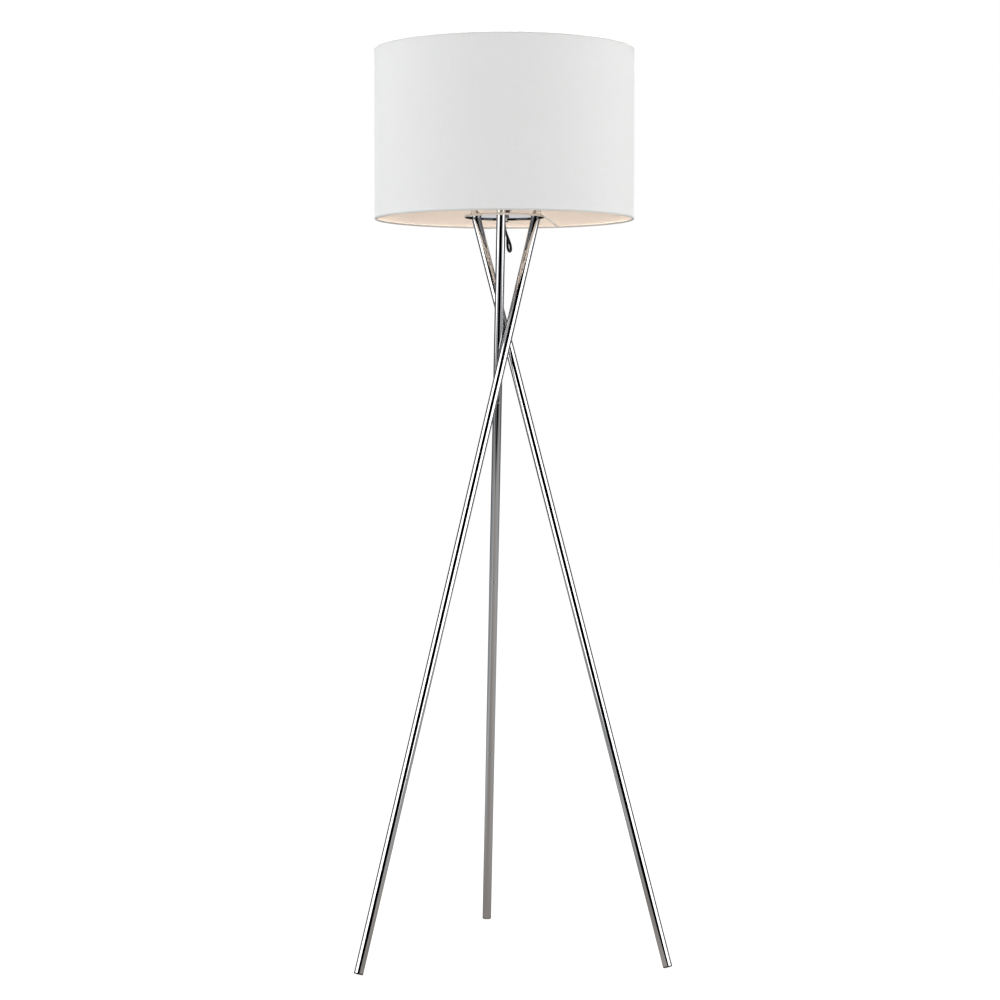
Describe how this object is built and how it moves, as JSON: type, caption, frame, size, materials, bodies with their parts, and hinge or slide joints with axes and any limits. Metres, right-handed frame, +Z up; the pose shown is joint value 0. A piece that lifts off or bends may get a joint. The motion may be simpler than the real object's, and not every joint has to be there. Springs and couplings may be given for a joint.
{
  "type": "tripod_floor_lamp",
  "caption": "Tripod floor lamp with crossing chromed tube legs, a chromed top plate and a white fabric drum shade",
  "frame": {"origin": "on the floor, on the vertical axis of the shade and top plate", "axes": "+Z up along the shade's axis, -Y towards the front, +X to the right seen from the front"},
  "size_m": [0.5395, 0.5351, 1.5726],
  "materials": {
    "leg_chrome": "polished chrome plating",
    "plate_chrome": "polished chrome plating",
    "zinc_steel": "bright zinc plated",
    "black_plastic": "matte moulded",
    "black_rubber": "matte",
    "lead_pvc": "satin PVC sheath",
    "holder_phenolic": "moulded phenolic, semi-gloss",
    "block_ceramic": "glazed",
    "brass": "bright",
    "white_paint": "semi-gloss white",
    "shade_fabric": "fine plain weave, off-white",
    "shade_liner": "matte cream film",
    "frosted_glass": "frosted inside",
    "cap_aluminium": "bright",
    "black_glass": "glossy"
  },
  "bodies": {
    "stand": {"centre_contact": "brass", "foot_cap_a": "black_plastic", "foot_cap_b": "black_plastic", "foot_cap_c": "black_plastic", "lampholder_base": "holder_phenolic", "lampholder_body": "holder_phenolic", "lead_bush": "black_plastic", "lead_grommet_foot": "black_rubber", "lead_grommet_top": "black_rubber", "leg_a_section_1": "leg_chrome", "leg_a_section_2": "leg_chrome", "leg_a_section_3": "leg_chrome", "leg_a_section_4": "leg_chrome", "leg_a_threaded_sockets": "zinc_steel", "leg_a_threaded_studs": "zinc_steel", "leg_b_section_1": "leg_chrome", "leg_b_section_2": "leg_chrome", "leg_b_section_3": "leg_chrome", "leg_b_section_4": "leg_chrome", "leg_b_threaded_sockets": "zinc_steel", "leg_b_threaded_studs": "zinc_steel", "leg_bolts": "plate_chrome", "leg_c_section_1": "leg_chrome", "leg_c_section_2": "leg_chrome", "leg_c_section_3": "leg_chrome", "leg_c_section_4": "leg_chrome", "leg_c_threaded_sockets": "zinc_steel", "leg_c_threaded_studs": "zinc_steel", "leg_top_inserts": "zinc_steel", "mains_lead_in_leg": "lead_pvc", "mains_lead_in_nipple": "lead_pvc", "mains_lead_loop": "lead_pvc", "nipple": "zinc_steel", "nipple_nuts": "zinc_steel", "screw_shell": "brass", "terminal_block": "block_ceramic", "terminal_screws": "brass", "top_plate": "plate_chrome", "wedge_spacers": "plate_chrome"},
    "switch": {"switch_knob": "holder_phenolic", "switch_spindle": "zinc_steel"},
    "shade": {"shade_fabric": "shade_fabric", "shade_liner": "shade_liner", "shade_hub": "white_paint", "shade_arms": "white_paint", "shade_bottom_wire": "white_paint", "shade_top_wire": "white_paint"},
    "bulb": {"bulb_glass": "frosted_glass", "bulb_cap": "cap_aluminium", "bulb_insulator": "black_glass", "bulb_tip": "brass"},
    "ring_nut": {"shade_ring_nut": "holder_phenolic"}
  },
  "joints": [
    {"name": "switch_turn", "type": "hinge", "parent": "stand", "child": "switch", "pos_m": [0, 0, 1.312], "axis": [-0.4384, -0.8988, 0], "continuous": true},
    {"name": "shade_turn", "type": "hinge", "parent": "stand", "child": "shade", "pos_m": [0, 0, 1.328], "axis": [0, 0, 1], "continuous": true},
    {"name": "bulb_unscrew", "type": "slide", "parent": "stand", "child": "bulb", "axis": [0, 0, 1], "range_m": [0, 0.03]},
    {"name": "ring_nut_unscrew", "type": "slide", "parent": "stand", "child": "ring_nut", "axis": [0, 0, 1], "range_m": [0, 0.0215]}
  ]
}
